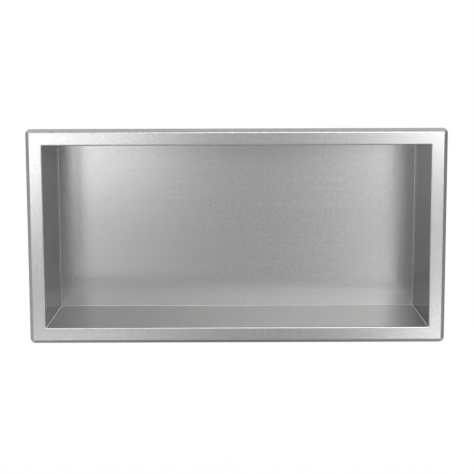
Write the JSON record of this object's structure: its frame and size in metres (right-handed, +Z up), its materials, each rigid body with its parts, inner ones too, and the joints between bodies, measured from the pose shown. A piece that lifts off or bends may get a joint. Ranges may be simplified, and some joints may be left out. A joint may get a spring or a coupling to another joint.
{
  "type": "recessed shelf",
  "caption": "Rectangular stainless steel box shelf that sits in a wall, open at the front, with a flat flange and bevelled rim round its mouth to cover the edge of the hole.",
  "frame": {"origin": "centre of the recess in the plane of the wall face, where the flange's rim seats", "axes": "+X to the right seen from the room, +Y into the wall, +Z up"},
  "size_m": [0.4412, 0.1024, 0.2284],
  "materials": {
    "satin_steel": "satin, brushed along the width"
  },
  "bodies": {
    "root": {"recessed_shelf": "satin_steel"}
  },
  "joints": []
}
